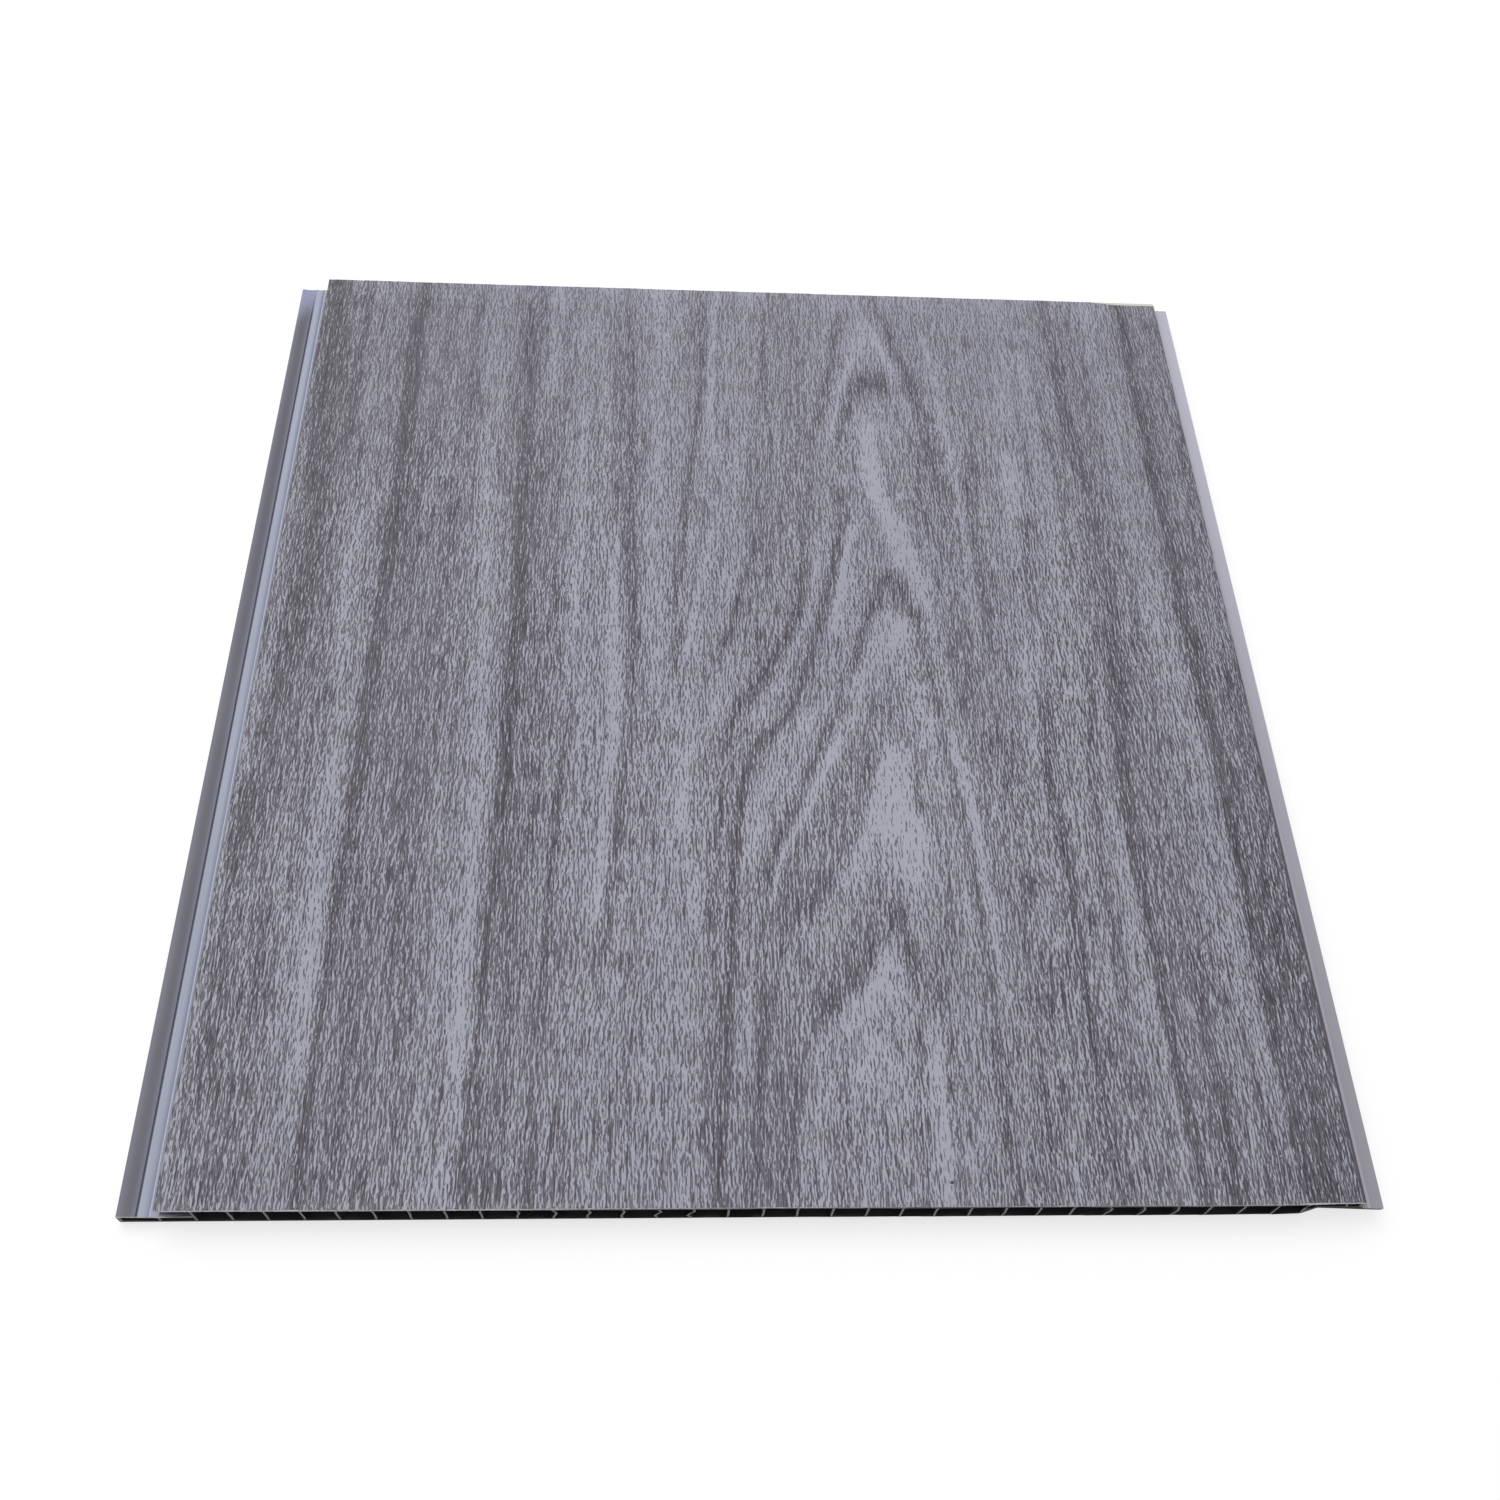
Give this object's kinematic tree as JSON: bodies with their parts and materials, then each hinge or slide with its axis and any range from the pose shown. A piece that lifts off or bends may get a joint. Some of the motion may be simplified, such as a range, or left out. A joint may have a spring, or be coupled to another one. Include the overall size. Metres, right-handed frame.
{
  "type": "pvc ceiling panel",
  "caption": "Short length of hollow PVC ceiling panel: webbed section, grooved nailing flange on one edge, tongue on the other, wood-grain film on the face.",
  "frame": {"origin": "bottom centre of the panel's bounding box, on the back face", "axes": "+Y along the extruded length, +Z out of the decorative face, -X towards the nailing flange, +X towards the tongue"},
  "size_m": [0.2634, 0.275, 0.008],
  "materials": {
    "pvc": "satin"
  },
  "bodies": {
    "root": {"ceiling_panel": "pvc"}
  },
  "joints": []
}
